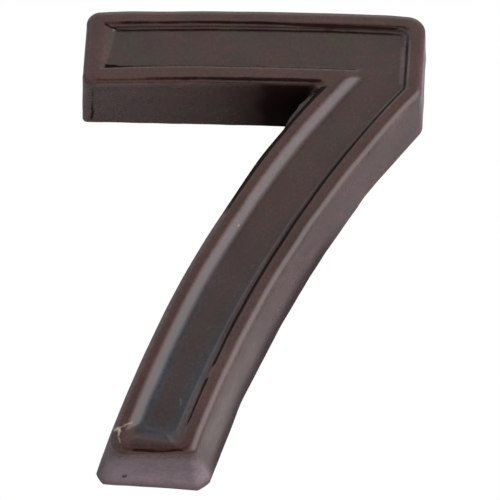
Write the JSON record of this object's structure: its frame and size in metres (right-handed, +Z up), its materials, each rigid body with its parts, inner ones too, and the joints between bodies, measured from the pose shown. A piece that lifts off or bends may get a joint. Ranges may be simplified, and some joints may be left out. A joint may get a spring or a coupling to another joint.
{
  "type": "ceramic house number",
  "caption": "Numeral seven moulded in one piece of brown glazed ceramic, with a raised rim around a sunk field, drafted sides and an open hollow back, fixed flat on a wall.",
  "frame": {"origin": "on the flat back rim's upper strip, behind the middle of the bar's top edge", "axes": "+X to the reader's right along the bar, +Z up the wall, +Y into the wall; the face looks along -Y"},
  "size_m": [0.1188, 0.0265, 0.1626],
  "materials": {
    "brown_glaze": "gloss"
  },
  "bodies": {
    "root": {"house_number": "brown_glaze"}
  },
  "joints": []
}
